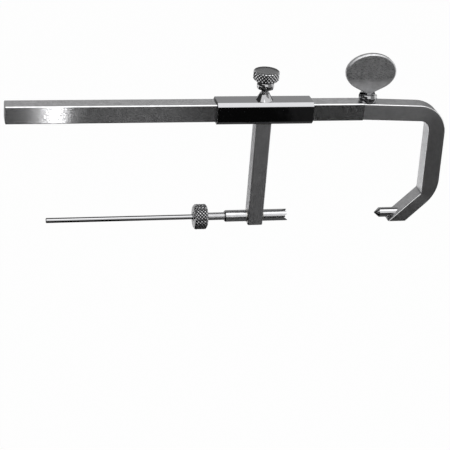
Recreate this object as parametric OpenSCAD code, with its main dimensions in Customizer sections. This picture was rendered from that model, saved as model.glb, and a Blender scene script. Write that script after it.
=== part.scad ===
// Adjustable C-shaped drill guide in stainless steel.
// A square bar carries a clamped slider with a guide arm, and a hook that plugs onto its end.
// The guide sleeve in the arm and the aim pin in the hook share one drill axis.
// X runs along the bar towards the hook, Y runs front to back, Z is up.
// The origin is the centre of the bar's free end face.

/* [Bar] */
// Length of the bar from its free end to the shoulder that the hook meets
bar_l = 137.6; // [126:1:170]
// Height of the bar
bar_h = 7; // [6.4:0.2:8.4]
// Depth of the bar from front to back
bar_d = 6.9; // [6.4:0.2:8.4]
// Bevel along the edges of the bar and of the guide arm
edge_bevel = 0.35; // [0.1:0.05:0.6]

/* [Tongue and socket] */
// Length of the tongue on the bar's end
tongue_l = 14; // [8:1:18]
// Height of the tongue
tongue_h = 3.4; // [2.6:0.2:3.8]
// Depth of the tongue
tongue_d = 4; // [3:0.2:4.6]
// Clearance on each side of the tongue in its socket
tongue_gap = 0.05; // [0.02:0.01:0.1]
// Extra depth of the socket past the tongue's end
socket_room = 1; // [0.5:0.5:2]

/* [Slider] */
// Stretch of bar left free between the slider and the hook
slider_free = 20.5; // [8:0.5:60]
// Length of the slider
slider_l = 37.6; // [30:0.5:42]
// Thickness of the slider's roof and floor
slider_roof = 0.85; // [0.7:0.05:1.4]
// Thickness of the slider's front and back walls
slider_wall = 1.2; // [0.9:0.05:1.8]
// Bevel along the slider's four long edges
slider_bevel = 1.3; // [0.8:0.1:1.4]
// Running clearance between the slider and the bar on each side
slide_gap = 0.05; // [0.02:0.01:0.1]

/* [Screw boss] */
// Diameter of the boss at its foot
boss_base_d = 6.7; // [5.6:0.1:6.7]
// Diameter of the boss at its top
boss_top_d = 3.8; // [3.5:0.1:5]
// Height of the boss above the slider
boss_h = 2.7; // [2:0.1:4]

/* [Lock screw] */
// Outer diameter of the threaded shanks
screw_d = 2.9; // [2.4:0.1:3]
// Clearance around a threaded shank in its hole
thread_gap = 0.05; // [0.02:0.01:0.1]
// Gap between a screw's tip and what it presses on
tip_gap = 0.05; // [0.02:0.01:0.1]
// Bare neck between the boss and the ball collar
neck_l = 1.9; // [1.2:0.1:4]
// Diameter of the ball collar under the head
collar_d = 6.7; // [5.6:0.1:7.6]
// Height of the ball collar
collar_h = 3.2; // [2:0.1:4]
// Diameter of the knurled head
head_d = 10; // [8:0.5:12]
// Height of the knurled head
head_h = 3.8; // [3:0.1:6]
// Bevel around the head's lower edge
head_bevel = 0.65; // [0.3:0.05:1]
// Bevel around the head's upper edge
head_top_bevel = 0.3; // [0.1:0.05:0.6]

/* [Guide arm] */
// Width of the guide arm along the bar
arm_w = 6; // [5:0.1:8]
// Depth of the guide arm from front to back
arm_d = 6; // [5.6:0.1:6.6]
// Drop from the bar's centre line to the drill axis
drill_drop = 45; // [36:1:60]
// Length of the arm below the drill axis
arm_end = 3; // [2.8:0.1:5]

/* [Guide sleeve] */
// Outer diameter of the guide sleeve
sleeve_d = 4.6; // [4.2:0.1:4.8]
// Length of the guide sleeve with its teeth
sleeve_l = 25.7; // [20:0.5:32]
// Length of the sleeve from the arm's centre to the tips of its teeth
sleeve_nose = 13.5; // [8:0.5:18]
// Depth of the teeth that grip the workpiece
tooth_depth = 2.2; // [1:0.1:3]
// Bevel around the sleeve's rear end
sleeve_bevel = 0.45; // [0.2:0.05:0.6]
// Solder gap around parts that are brazed into a hole
braze_gap = 0.02; // [0.01:0.01:0.05]

/* [Insert] */
// Outer diameter of the insert tube
insert_d = 3; // [2.7:0.05:3.2]
// Clearance between the insert tube and the guide sleeve
insert_gap = 0.04; // [0.02:0.01:0.1]
// Stretch of the insert tube left showing between its knob and the sleeve
insert_out = 7.1; // [1:0.1:12]
// Diameter of the insert's knurled knob
knob_d = 10; // [8:0.5:12]
// Width of the insert's knurled knob
knob_w = 5.2; // [4:0.1:8]
// Bevel around both ends of the knob
knob_bevel = 0.6; // [0.3:0.05:1]
// Depth of the countersink that leads the wire into the knob
lead_in = 0.5; // [0.2:0.1:0.8]

/* [Drill wire] */
// Diameter of the drill wire
wire_d = 2; // [1.6:0.1:2.1]
// Clearance between the wire and the insert's bore
wire_gap = 0.04; // [0.02:0.01:0.1]
// Stretch of wire behind the knob, for the drill's chuck
wire_out = 58; // [30:1:80]
// Length of the wire's ground point
wire_point = 1.6; // [0.8:0.1:3]
// Bevel around the wire's rear end
wire_bevel = 0.25; // [0.1:0.05:0.5]

/* [Hook] */
// Reach from the shoulder to the outside of the hook's leg
hook_reach = 35.2; // [30:0.5:45]
// Height of the hook's upper limb
limb_h = 6.65; // [6.2:0.05:7.4]
// Height of the limb's upper face above the bar's centre line at the shoulder
limb_top = 3.4; // [3.2:0.05:3.6]
// Fall of the limb away from the bar, in degrees
limb_fall = 2.2; // [0:0.1:3]
// Depth of the hook from front to back
hook_d = 6.9; // [6.4:0.1:8]
// Width of the hook's leg
leg_w = 6.9; // [6:0.1:8]
// Outward lean of the leg towards its lower end, in degrees
leg_lean = 1.5; // [0:0.5:4]
// Radius of the outer upper corner
corner_r = 12.3; // [9:0.1:14]
// Radius of the inner upper corner
inner_r = 4; // [2:0.1:5]
// Radius of the inner lower corner
crook_r = 1.5; // [0.5:0.1:4]
// Radius of the outer lower bend
bend_r = 14; // [10:0.5:16]
// Thickness of the slanted foot across its length
foot_t = 5.2; // [5:0.1:6.5]
// Setback of the foot's heel from the outside of the leg
foot_in = 11.9; // [10:0.1:16]
// Length of the foot below the drill axis
foot_end = 2.6; // [2.5:0.1:4]

/* [Aim pin] */
// Diameter of the aim pin
pin_d = 3.9; // [3:0.1:4.2]
// Length of the aim pin outside the foot, measured on its axis
pin_out = 8; // [4:0.1:10]
// Length of the aim pin's cone
pin_point = 2.2; // [1:0.1:3]
// Length of the aim pin seated in the foot
pin_in = 4.6; // [2:0.1:4.8]

/* [Thumb screw] */
// Distance from the shoulder to the thumb screw's axis
spade_in = 2; // [1.9:0.1:3]
// Gap between the ball collar's foot and the bar
seat_gap = 0.06; // [0.02:0.01:0.1]
// Diameter of the ball collar
ball_d = 7.2; // [6:0.1:8]
// Height of the ball collar, which is cut flat below and above
ball_h = 3; // [2.4:0.1:4]
// Height of the ball's centre above its seat
ball_rise = 1.4; // [0.6:0.1:2]
// Height of the slot's floor above the ball's centre
slot_floor = 0.2; // [0.1:0.1:0.3]
// Width of the paddle's oval
paddle_w = 20.1; // [16:0.1:26]
// Height of the paddle's oval
paddle_h = 15; // [12:0.1:16]
// Height of the oval's centre above the ball collar
paddle_rise = 8.8; // [8:0.1:12]
// Height of the paddle's lower tip above the ball collar
tip_rise = 0.1; // [0.1:0.1:0.6]
// Thickness of the paddle
paddle_t = 2.4; // [1.8:0.1:3]
// Bevel around both faces of the paddle
paddle_bevel = 0.5; // [0.2:0.05:0.8]
// Width of the paddle's tip and of its tang, which is brazed into the ball's slot
tang_w = 1.6; // [1.4:0.1:3]

/* [Hidden] */
$fn = 72;

// Overrun of every cut past the face that it opens
over = 1;
// Length by which the tongue is rooted in the bar
root_l = 2;
// Segments in each arc of an outline
arc_steps = 24;
// Slope of the slanted foot, in degrees
foot_slope = 45;
// Half width of a tooth's gap at the sleeve's nose, as a share of the sleeve's diameter
tooth_share = 0.35;
// Flare of the boss: the higher, the more hollow its side
flare_share = 1.2;
// Steps up the boss's flared side
flare_steps = 8;

// Heights on the bar and the slider
bar_top = bar_h/2;
slider_x = bar_l - slider_free - slider_l;
slider_top = bar_top + slide_gap + slider_roof;
slider_side = bar_d/2 + slide_gap + slider_wall;
screw_x = slider_x + slider_l/2;
boss_top = slider_top + boss_h;
collar_z = boss_top + neck_l;
head_z = collar_z + collar_h;
screw_hole_d = screw_d + 2*thread_gap;

// Places along the drill axis
drill_z = -drill_drop;
nose_x = screw_x + sleeve_nose;
sleeve_rear = nose_x - sleeve_l;
sleeve_bore = insert_d + 2*insert_gap;
knob_front = sleeve_rear - insert_out;
knob_rear = knob_front - knob_w;
insert_bore = wire_d + 2*wire_gap;
insert_tip = knob_front + sleeve_l - tooth_depth;
wire_rear = knob_rear - wire_out;
wire_tip = nose_x - tooth_depth/2;

// Places on the hook
leg_x = bar_l + hook_reach;
foot_z = drill_z - foot_end;
heel_x = leg_x - foot_in;
foot_across = foot_t/sin(foot_slope);
pin_face_x = heel_x - foot_across + foot_end;
pin_hole_d = pin_d + 2*braze_gap;

// Heights on the thumb screw
spade_x = bar_l + spade_in;
seat_z = bar_top + seat_gap;
ball_z = seat_z + ball_rise;
ball_top = seat_z + ball_h;
oval_z = ball_top + paddle_rise;
paddle_low = ball_top + tip_rise;

// Points of an arc in the X and Z plane
function arc(cx, cz, r, a0, a1) =
    [for (i = [0:arc_steps]) let (a = a0 + (a1 - a0)*i/arc_steps) [cx + r*cos(a), cz + r*sin(a)]];

// Rectangle about the origin with its four corners cut
module cut_rect(w, h, cut) {
    x = w/2;
    y = h/2;
    polygon([[-x + cut, -y], [x - cut, -y], [x, -y + cut], [x, y - cut],
             [x - cut, y], [-x + cut, y], [-x, y - cut], [-x, -y + cut]]);
}

// Outline in Y and Z drawn out along X from x0 to x1
module along_x(x0, x1) {
    translate([x0, 0, 0]) rotate([90, 0, 90]) linear_extrude(x1 - x0) children();
}

// Solid of revolution whose profile is radius against length, laid along X from x0
module turned_x(x0) {
    translate([x0, 0, drill_z]) rotate([0, 90, 0]) rotate_extrude() children();
}

// Block with every edge bevelled, centred in X, Y and Z
module bevelled_block(l, d, h, bevel) {
    intersection() {
        translate([-l/2, 0, 0]) along_x(0, l) cut_rect(d, h, bevel);
        translate([0, 0, -h/2]) linear_extrude(h) cut_rect(l, d, bevel);
        translate([0, d/2, 0]) rotate([90, 0, 0]) linear_extrude(d) cut_rect(l, h, bevel);
    }
}

// Profile of a turned disc: bore, outside, length and the two bevels
module disc_profile(bore_d, d, l, bevel0, bevel1) {
    polygon([[bore_d/2, 0], [d/2 - bevel0, 0], [d/2, bevel0],
             [d/2, l - bevel1], [d/2 - bevel1, l], [bore_d/2, l]]);
}

// Square bar, bevelled at its free end, with the tongue that enters the hook
module main_bar() {
    body_l = bar_l + over;
    tongue_run = root_l + tongue_l;
    color("silver") union() {
        intersection() {
            translate([body_l/2, 0, 0]) bevelled_block(body_l, bar_d, bar_h, edge_bevel);
            translate([0, -bar_d, -bar_h]) cube([bar_l, 2*bar_d, 2*bar_h]);
        }
        translate([bar_l - root_l + tongue_run/2, 0, 0])
            bevelled_block(tongue_run, tongue_d, tongue_h, edge_bevel);
    }
}

// Bevelled square tube that slides on the bar, with the screw's hole in its roof
module slider_sleeve() {
    color("gray") difference() {
        along_x(slider_x, slider_x + slider_l)
            difference() {
                cut_rect(2*slider_side, 2*slider_top, slider_bevel);
                square([bar_d + 2*slide_gap, bar_h + 2*slide_gap], center = true);
            }
        translate([screw_x, 0, 0]) cylinder(d = screw_hole_d, h = slider_top + over);
    }
}

// Flared boss brazed on the slider's roof, which lengthens the screw's thread
module slider_boss() {
    flare = [for (i = [0:flare_steps]) let (t = i/flare_steps)
        [boss_top_d/2 + (boss_base_d - boss_top_d)/2*pow(1 - t, flare_share), t*boss_h]];
    color("gainsboro") translate([screw_x, 0, slider_top]) rotate_extrude()
        polygon(concat([[screw_hole_d/2, 0]], flare, [[screw_hole_d/2, boss_h]]));
}

// Ball cut flat below and above, standing on z = 0 with its centre at the given height
module cut_ball(d, centre, h) {
    intersection() {
        translate([0, 0, centre]) sphere(d = d);
        cylinder(d = 2*d, h = h);
    }
}

// Knurled clamp screw: shank, ball collar and head in one turned piece
module lock_screw() {
    tip_z = bar_top + tip_gap;
    color("darkgray") translate([screw_x, 0, 0]) union() {
        translate([0, 0, tip_z]) cylinder(d = screw_d, h = head_z - tip_z);
        translate([0, 0, collar_z]) cut_ball(collar_d, collar_h/3, collar_h);
        translate([0, 0, head_z]) rotate_extrude()
            disc_profile(0, head_d, head_h, head_bevel, head_top_bevel);
    }
}

// Guide arm brazed under the slider, bored along the drill axis near its lower end
module guide_arm() {
    top_z = -slider_top;
    run = drill_drop + arm_end - slider_top;
    color("lightgray") difference() {
        intersection() {
            translate([screw_x, 0, top_z - run/2 + edge_bevel])
                bevelled_block(arm_w, arm_d, run + 2*edge_bevel, edge_bevel);
            translate([screw_x - arm_w, -arm_d, top_z - run]) cube([2*arm_w, 2*arm_d, run]);
        }
        turned_x(screw_x - arm_w) square([sleeve_d/2 + braze_gap, 2*arm_w]);
    }
}

// Guide sleeve brazed through the arm, with four teeth at its nose
module guide_sleeve() {
    mouth = tooth_share*sleeve_d*(tooth_depth + over)/tooth_depth;
    color("whitesmoke") difference() {
        turned_x(sleeve_rear) disc_profile(sleeve_bore, sleeve_d, sleeve_l, sleeve_bevel, 0);
        for (turn = [0, 90])
            translate([nose_x, 0, drill_z]) rotate([turn, 0, 0]) translate([0, 0, -sleeve_d])
                linear_extrude(2*sleeve_d)
                    polygon([[-tooth_depth, 0], [over, -mouth], [over, mouth]]);
    }
}

// Insert tube that narrows the guide sleeve to the wire's size
module insert_tube() {
    color("silver") turned_x(knob_rear)
        translate([insert_bore/2, 0]) square([(insert_d - insert_bore)/2, insert_tip - knob_rear]);
}

// Knurled knob brazed on the insert tube, countersunk where the wire goes in
module insert_knob() {
    bore_d = insert_d + 2*braze_gap;
    color("darkgray") turned_x(knob_rear)
        polygon([[bore_d/2, lead_in], [bore_d/2 + lead_in, 0], [knob_d/2 - knob_bevel, 0],
                 [knob_d/2, knob_bevel], [knob_d/2, knob_w - knob_bevel],
                 [knob_d/2 - knob_bevel, knob_w], [bore_d/2, knob_w]]);
}

// Drill wire with a ground point in front and a plain end for the chuck
module drill_wire() {
    run = wire_tip - wire_rear;
    color("white") turned_x(wire_rear)
        polygon([[0, 0], [wire_d/2 - wire_bevel, 0], [wire_d/2, wire_bevel],
                 [wire_d/2, run - wire_point], [0, run]]);
}

// Point that lies at height a along the direction n and at height b along the direction m
function meet(n, a, m, b) =
    let (det = n[0]*m[1] - n[1]*m[0]) [(a*m[1] - b*n[1])/det, (b*n[0] - a*m[0])/det];

// Outline of the hook: limb, outer corner, leg, lower bend, slanted foot and inner side
module hook_outline() {
    leg_n = [cos(leg_lean), sin(leg_lean)];
    limb_n = [sin(limb_fall), cos(limb_fall)];
    foot_n = [-sin(foot_slope), cos(foot_slope)];
    bend_x = leg_x - bend_r;
    bend_z = bend_x - heel_x + foot_z + bend_r/sin(foot_slope);
    leg_out = bend_x*leg_n[0] + bend_z*leg_n[1] + bend_r;
    leg_in = leg_out - leg_w;
    limb_up = bar_l*limb_n[0] + limb_top*limb_n[1];
    limb_low = limb_up - limb_h*limb_n[1];
    toe_x = heel_x - foot_across;
    foot_up = toe_x*foot_n[0] + foot_z*foot_n[1];
    corner = meet(leg_n, leg_out - corner_r, limb_n, limb_up - corner_r);
    fillet = meet(leg_n, leg_in - inner_r, limb_n, limb_low - inner_r);
    crook = meet(leg_n, leg_in - crook_r, foot_n, foot_up + crook_r);
    polygon(concat(
        [[bar_l, limb_top]],
        arc(corner[0], corner[1], corner_r, 90 - limb_fall, leg_lean),
        arc(bend_x, bend_z, bend_r, leg_lean, -foot_slope),
        [[heel_x, foot_z], [toe_x, foot_z]],
        arc(crook[0], crook[1], crook_r, -foot_slope, leg_lean),
        arc(fillet[0], fillet[1], inner_r, leg_lean, 90 - limb_fall),
        [[bar_l, limb_top - limb_h]]));
}

// Hook that plugs onto the tongue, with holes for the thumb screw and the aim pin
module hook_arm() {
    socket_l = tongue_l + socket_room;
    color("dimgray") difference() {
        translate([0, hook_d/2, 0]) rotate([90, 0, 0]) linear_extrude(hook_d) hook_outline();
        along_x(bar_l - over, bar_l + socket_l)
            square([tongue_d + 2*tongue_gap, tongue_h + 2*tongue_gap], center = true);
        translate([spade_x, 0, 0]) cylinder(d = screw_hole_d, h = bar_h);
        turned_x(pin_face_x - pin_out) square([pin_hole_d/2, pin_out + pin_in + braze_gap]);
    }
}

// Pointed aim pin seated in the foot, on the drill axis
module aim_pin() {
    run = pin_out + pin_in;
    color("whitesmoke") turned_x(pin_face_x - pin_out)
        polygon([[0, 0], [pin_d/2, pin_point], [pin_d/2, run], [0, run]]);
}

// Threaded stud of the thumb screw, with a slotted ball collar
module spade_stud() {
    tip_z = tongue_h/2 + tip_gap;
    slot_w = paddle_t + 2*braze_gap;
    color("gray") translate([spade_x, 0, 0]) difference() {
        union() {
            translate([0, 0, tip_z]) cylinder(d = screw_d, h = ball_z - tip_z);
            translate([0, 0, seat_z]) cut_ball(ball_d, ball_rise, ball_h);
        }
        translate([-ball_d, -slot_w/2, ball_z + slot_floor]) cube([2*ball_d, slot_w, ball_d]);
    }
}

// Flat layer of the paddle: an oval that runs down to a blunt tip, drawn in by a margin
module paddle_layer(thickness, margin) {
    a = paddle_w/2 - margin;
    b = paddle_h/2 - margin;
    tip = tang_w/2 - margin;
    oval = [for (i = [0:2*arc_steps - 1]) [a*cos(180*i/arc_steps), oval_z + b*sin(180*i/arc_steps)]];
    translate([spade_x, thickness/2, 0]) rotate([90, 0, 0]) linear_extrude(thickness)
        hull() polygon(concat(oval, [[-tip, paddle_low + margin], [tip, paddle_low + margin]]));
}

// Bevelled paddle of the thumb screw, with the tang in the ball's slot
module spade_paddle() {
    slot_z = ball_z + slot_floor + braze_gap;
    color("dimgray") union() {
        hull() {
            paddle_layer(paddle_t, paddle_bevel);
            paddle_layer(paddle_t - 2*paddle_bevel, 0);
        }
        translate([spade_x - tang_w/2, -paddle_t/2, slot_z])
            cube([tang_w, paddle_t, paddle_low + 2*paddle_bevel - slot_z]);
    }
}

main_bar();
slider_sleeve();
slider_boss();
lock_screw();
guide_arm();
guide_sleeve();
insert_tube();
insert_knob();
drill_wire();
hook_arm();
aim_pin();
spade_stud();
spade_paddle();
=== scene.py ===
import math

import bmesh
import bpy
from mathutils import Matrix, Vector


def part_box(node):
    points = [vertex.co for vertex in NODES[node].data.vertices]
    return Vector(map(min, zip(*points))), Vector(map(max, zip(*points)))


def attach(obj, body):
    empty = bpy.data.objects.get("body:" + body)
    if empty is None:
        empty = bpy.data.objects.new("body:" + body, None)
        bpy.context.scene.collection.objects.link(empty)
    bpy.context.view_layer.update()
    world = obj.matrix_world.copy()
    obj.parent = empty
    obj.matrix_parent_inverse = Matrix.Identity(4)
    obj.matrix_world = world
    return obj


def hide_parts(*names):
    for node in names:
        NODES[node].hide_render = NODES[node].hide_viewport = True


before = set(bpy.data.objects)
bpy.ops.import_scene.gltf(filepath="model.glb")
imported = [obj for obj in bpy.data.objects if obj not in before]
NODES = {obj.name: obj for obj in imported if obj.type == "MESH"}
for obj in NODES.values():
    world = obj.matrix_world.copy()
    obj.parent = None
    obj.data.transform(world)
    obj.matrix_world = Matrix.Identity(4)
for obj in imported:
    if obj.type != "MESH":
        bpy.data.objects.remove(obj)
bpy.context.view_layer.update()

MM = 0.001
LOW = {name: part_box(name)[0] for name in NODES}
HIGH = {name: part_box(name)[1] for name in NODES}

# Camera, as the photograph shows the object: degrees, metres, and millimetres of lens and sensor
VIEW_AZIMUTH = -13.545
VIEW_ELEVATION = 26.267
VIEW_ROLL = 4.544
VIEW_TARGET = (0.086835, 0.0, -0.049003)
VIEW_DISTANCE = 0.556172
VIEW_LENS = 112.0
VIEW_SENSOR = 36.0
VIEW_NEAR = 0.01
VIEW_FAR = 50.0

# Floor and surroundings: metres, and shares of white
FLOOR_Z = -0.30
FLOOR_SIZE = 12.0
FLOOR_COLOUR = 0.9
FLOOR_WHITE = 0.97
WORLD_LIGHT = 0.6

# Studio cards that lie level, in metres: name, X of both ends, Y of both sides, grey level
CARD_Z = -0.22
LEVEL_CARDS = (
    ("flag_left", -1.0, 0.08, 0.17, -0.25, 0.0),
    ("flag_right", 0.08, 1.2, 0.17, -0.25, 0.10),
    ("flag_low", -1.0, 0.11, -0.25, -0.9, 0.065),
    ("flag_near", 0.11, 0.175, -0.25, -0.9, 0.12),
    ("flag_mid", 0.175, 0.262, -0.25, -0.9, 0.005),
    ("flag_far", 0.262, 1.2, -0.25, -0.9, 0.025),
    ("flag_end", -0.22, -0.08, 0.36, 0.56, 0.0),
)

# Upright studio cards, in metres: name, X and Y of both ends, lowest and highest Z, grey level
UPRIGHT_CARDS = (
    ("flag_front", (-1.0, -0.9), (0.6, -0.9), -0.22, 0.0, 0.0),
    ("flag_wire", (-0.01, -0.05), (0.055, -0.05), -0.07, -0.047, 0.0),
    ("grey_right", (0.45, -0.9), (1.3, -0.3), -0.22, 0.55, 0.3),
    ("band_far", (-1.5, 1.0), (-0.42, 1.0), -0.29, 0.34, 0.08),
    ("band_left", (-0.42, 1.0), (-0.1, 1.0), -0.29, 0.34, 0.6),
    ("band_back", (-0.1, 1.0), (2.0, 1.0), -0.29, 0.34, 0.12),
    ("card_back", (-1.5, 1.0), (2.0, 1.0), 0.34, 0.85, 0.53),
    ("dark_left", (-0.8, -0.35), (-0.8, 1.0), -0.1, 0.9, 0.04),
    ("dark_front", (-0.8, -0.35), (-0.22, -0.9), -0.1, 0.36, 0.04),
)

# Tilted card behind and above: its corners in metres, and its grey level
ABOVE_CORNERS = [(-1.5, 1.0, 0.85), (2.0, 1.0, 0.85), (2.0, 0.12, 1.1), (-1.5, 0.12, 1.1)]
ABOVE_LEVEL = 0.12

# Lamps, in metres: name, place, point aimed at, width, height, brightness in the metal
LAMPS = (
    ("softbox", (0.25, -0.35, 0.75), (0.09, 0, 0), 0.9, 0.5, 0.97),
    ("strip", (0.0606, -0.45, -0.185), (0.02, 0, 0), 0.010, 0.07, 6.7),
)

# Edges and seams, in metres and radians
SHARP_ANGLE = math.radians(32)
EDGE_ANGLE = math.radians(25)
FLAT_ANGLE = math.radians(0.5)
MERGE = 0.0001*MM
CAD_MERGE = 0.001*MM
BEVEL_STEPS = 3
FLATNESS = 100
FINE_BEVEL = 0.06*MM
SLIDER_BEVEL = 0.10*MM
HOOK_BEVEL = 0.50*MM
END_BEVEL = 0.12*MM
BAR_END_ROUND = 0.45*MM

# How squarely a face looks along an axis, from 0 to 1: the least for an end, and a bevel's two limits. The
# ends so picked take painted shade, and the hook's bevels a painted highlight
END_FACING = 0.9
KNURL_END_FACING = 0.95
HEAD_END_FACING = 0.99
BEVEL_FACING = (0.1, 0.975)

# Sides of turned pieces, and steps of their rounded parts
SIDES = 96
SMALL_SIDES = 64
THIN_SIDES = 48
FLARE_STEPS = 24
WIRE_STEPS = 12
COLLAR_STEPS = 20
BALL_STEPS = 28

# Knurls and threads, in metres and shares
KNURL_PITCH = 1.45*MM
KNURL_DEPTH = 0.38*MM
KNURL_CUTS = 4
KNURL_FLAT = 0.75
# Faces that lie deeper in a knurl than GROOVE_SHARE of its depth take the groove's painted shade
GROOVE_SHARE = 0.5
THREAD_PITCH = 0.5*MM
THREAD_DEPTH = 0.26*MM
THREAD_FLAT = 0.8
THREAD_STEPS = 8

# Numbers of a knurled piece's steels among its materials: its own steel, painted shade in the grooves and
# under the head, painted shade on the flat ends, and the collar's steel
CREST, GROOVE, END, COLLAR = range(4)

# Clamp screw and its boss, in metres
SCREW_D = 2.9*MM
HEAD_H = 3.8*MM
HEAD_BEVEL = 0.65*MM
HEAD_TOP_BEVEL = 0.3*MM
COLLAR_H = 3.2*MM
COLLAR_R = 3.35*MM
NECK = 0.05*MM
THREAD_RUNOUT = 0.15*MM
THREAD_SINK = 0.2*MM
SHANK_SINK = 0.3*MM
BOSS_TOP_D = 3.8*MM
FLARE_SHARE = 1.2

# Sleeve, insert, wire and pin, in metres. The pin's nose: shares of its point's length and of its radius
RIM = 0.12*MM
TOOTH_DEPTH = 2.2*MM
TOOTH_SHARE = 0.35
TOOTH_ROOM = 0.4*MM
SLEEVE_BEVEL = 0.45*MM
KNOB_BEVEL = 0.6*MM
LEAD_IN = 0.5*MM
WIRE_POINT = 1.6*MM
WIRE_BEVEL = 0.25*MM
PIN_POINT = 2.2*MM
PIN_NOSE = ((0, 0), (0.15, 0.17), (0.9, 0.93), (1, 0.99))

# Thumb screw, in metres. The paddle's edge, from face to rim: shares of its bevel and of half its thickness
BALL_H = 3.0*MM
BALL_RISE = 1.4*MM
BALL_D = 7.2*MM
SLOT_FLOOR = 0.2*MM
PADDLE_RISE = 8.8*MM
PADDLE_BEVEL = 0.5*MM
PADDLE_EDGE = ((1.5, 1.0), (1.0, 0.985), (0.75, 0.885), (0.5, 0.785), (0.25, 0.685), (0, 0.585))
MITRE_LIMIT = 0.3
TIP_RISE = 0.1*MM
TANG_W = 1.6*MM
TANG_OVER = 1.0*MM

# Hook's form that its box does not give, in metres and radians
LIMB_H = 6.65*MM
LIMB_TOP = 3.4*MM
LIMB_FALL = math.radians(2.2)
LEG_W = 6.9*MM
LEG_LEAN = math.radians(1.5)
CORNER_R = 12.3*MM
INNER_R = 4.0*MM
CROOK_R = 1.5*MM
BEND_R = 14.0*MM
FOOT_T = 5.2*MM
FOOT_IN = 11.9*MM
FOOT_SLOPE = math.radians(45)
ARC_STEPS = 24
HOOK_EDGE_STEPS = 4
TONGUE_D = 4.0*MM
TONGUE_H = 3.4*MM

# Running gaps, and room for cuts, in metres
SOCKET_GAP = 0.05*MM
THREAD_GAP = 0.05*MM
INSERT_GAP = 0.04*MM
WIRE_GAP = 0.04*MM
SOLDER_GAP = 0.02*MM
SOCKET_ROOM = 1.0*MM
CUT_OVER = 1.0*MM
STUD_CUT = 5.0*MM

# Braze: metres, and degrees round each of the arm's corners
BRAZE = 0.45*MM
BRAZE_SINK = 0.2*MM
BRAZE_STEPS = 5
BRAZE_UV = (0.1*MM, 0.5*MM)
ARM_CORNER = 0.3*MM
CORNER_TURNS = (0, 30, 60, 90)

# Steel's texture: sizes in metres, lengths and widths in pitches, shares, and spans of its noise
NOISE_ROUGHNESS = 0.6
GRAIN = 0.25*MM
GRAIN_LENGTH = 4
GRAIN_SHARE = 0.35
MARK_LENGTH = 30
MARK_SPAN = (0.43, 0.57)
BAND_WIDTH = 3
BAND_LENGTH = 200
PATCH = 2.2*MM
PATCH_SHARE = 0.5
TONE_SPAN = (0.35, 0.65)
HAZE = 1.6*MM
HAZE_SHADE = 0.93
WAVE_LENGTH = 4.0*MM
TOOL_MARK = 0.25*MM
TOOL_MARK_DEPTH = 0.01*MM
TOOL_MARK_SHADE = 0.75

# Paddle's dull foot: the heights in metres between which it clears, and its roughness below them
PADDLE_DULL = (7*MM, 13*MM, 0.85)

ALONG_BAR = Vector((1, 0, 0))
ALONG_ARM = Vector((0, 0, 1))


# Places

def radius_of(node):
    """Radius of a turned node that lies along X."""
    return (HIGH[node].z - LOW[node].z)/2


def axis_of(node):
    """A point on the axis of a turned node that lies along X."""
    return (0, 0, (LOW[node].z + HIGH[node].z)/2)


def middle_x(node):
    """X halfway along a node."""
    return (LOW[node].x + HIGH[node].x)/2


# Meshes

def finish_piece(mesh, name, body, slot, material, *nodes):
    """Links a mesh as a piece that rides on a body and stands for its CAD nodes."""
    piece = bpy.data.objects.new(name, mesh)
    bpy.context.scene.collection.objects.link(piece)
    if not mesh.materials:
        mesh.materials.append(material)
    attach(piece, body)
    if nodes:
        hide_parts(*nodes)
    return piece


def mesh_of(name, points, faces, uvs):
    """Mesh with one brush UV for each face corner, its doubles merged and its normals outward."""
    mesh = bpy.data.meshes.new(name)
    mesh.from_pydata(points, [], faces)
    layer = mesh.uv_layers.new(name="brush")
    flat = [c for face in uvs for uv in face for c in uv]
    layer.data.foreach_set("uv", flat)
    bm = bmesh.new()
    bm.from_mesh(mesh)
    bmesh.ops.remove_doubles(bm, verts=bm.verts, dist=MERGE)
    bmesh.ops.recalc_face_normals(bm, faces=bm.faces)
    bm.to_mesh(mesh)
    bm.free()
    mesh.shade_smooth()
    mesh.set_sharp_from_angle(angle=SHARP_ANGLE)
    return mesh


def grid(rows, around, closed, split=None):
    """Faces of a grid whose rows run round an axis, and the row and column of each corner."""
    faces = []
    corners = []
    last = len(rows) if closed else len(rows) - 1
    for j in range(last):
        for k in range(around):
            spots = [(j, k), (j, k + 1), (j + 1, k + 1), (j + 1, k)]
            way = split(j, k) if split else None
            if way is None:
                picks = [spots]
            elif way:
                picks = [[spots[0], spots[1], spots[2]], [spots[0], spots[2], spots[3]]]
            else:
                picks = [[spots[0], spots[1], spots[3]], [spots[1], spots[2], spots[3]]]
            for pick in picks:
                faces.append([(r % len(rows))*around + c % around for r, c in pick])
                corners.append(pick)
    return faces, corners


def turned(name, axis, centre, rows, around=SIDES, closed=False, split=None, lengthwise=False):
    """Mesh turned about X or Z. A row is (along, radius), or a function of the column that gives them."""
    spots = [[row(k) if callable(row) else row for k in range(around)] for row in rows]
    points = []
    for row in spots:
        for k, (along, radius) in enumerate(row):
            angle = 2*math.pi*k/around
            side = (radius*math.cos(angle), radius*math.sin(angle))
            if axis == "X":
                points.append((along, centre[1] + side[0], centre[2] + side[1]))
            else:
                points.append((centre[0] + side[0], centre[1] + side[1], along))
    run = [0.0]
    for a, b in zip(spots, spots[1:] + spots[:1]):
        run.append(run[-1] + math.hypot(b[0][0] - a[0][0], b[0][1] - a[0][1]))
    girth = 2*math.pi*max(radius for row in spots for along, radius in row)
    faces, corners = grid(rows, around, closed, split)
    uvs = [[(run[r], girth*c/around) for r, c in pick] for pick in corners]
    if lengthwise:
        uvs = [[(v, u) for u, v in face] for face in uvs]
    return mesh_of(name, points, faces, uvs)


def triangle_wave(t):
    """0 at whole numbers, 1 halfway between them."""
    return 1 - abs(2*(t % 1.0) - 1)


def knurl_columns(radius):
    """Columns round a knurl, a few to each of its grooves."""
    return round(2*math.pi*radius/KNURL_PITCH)*2*KNURL_CUTS


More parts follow.
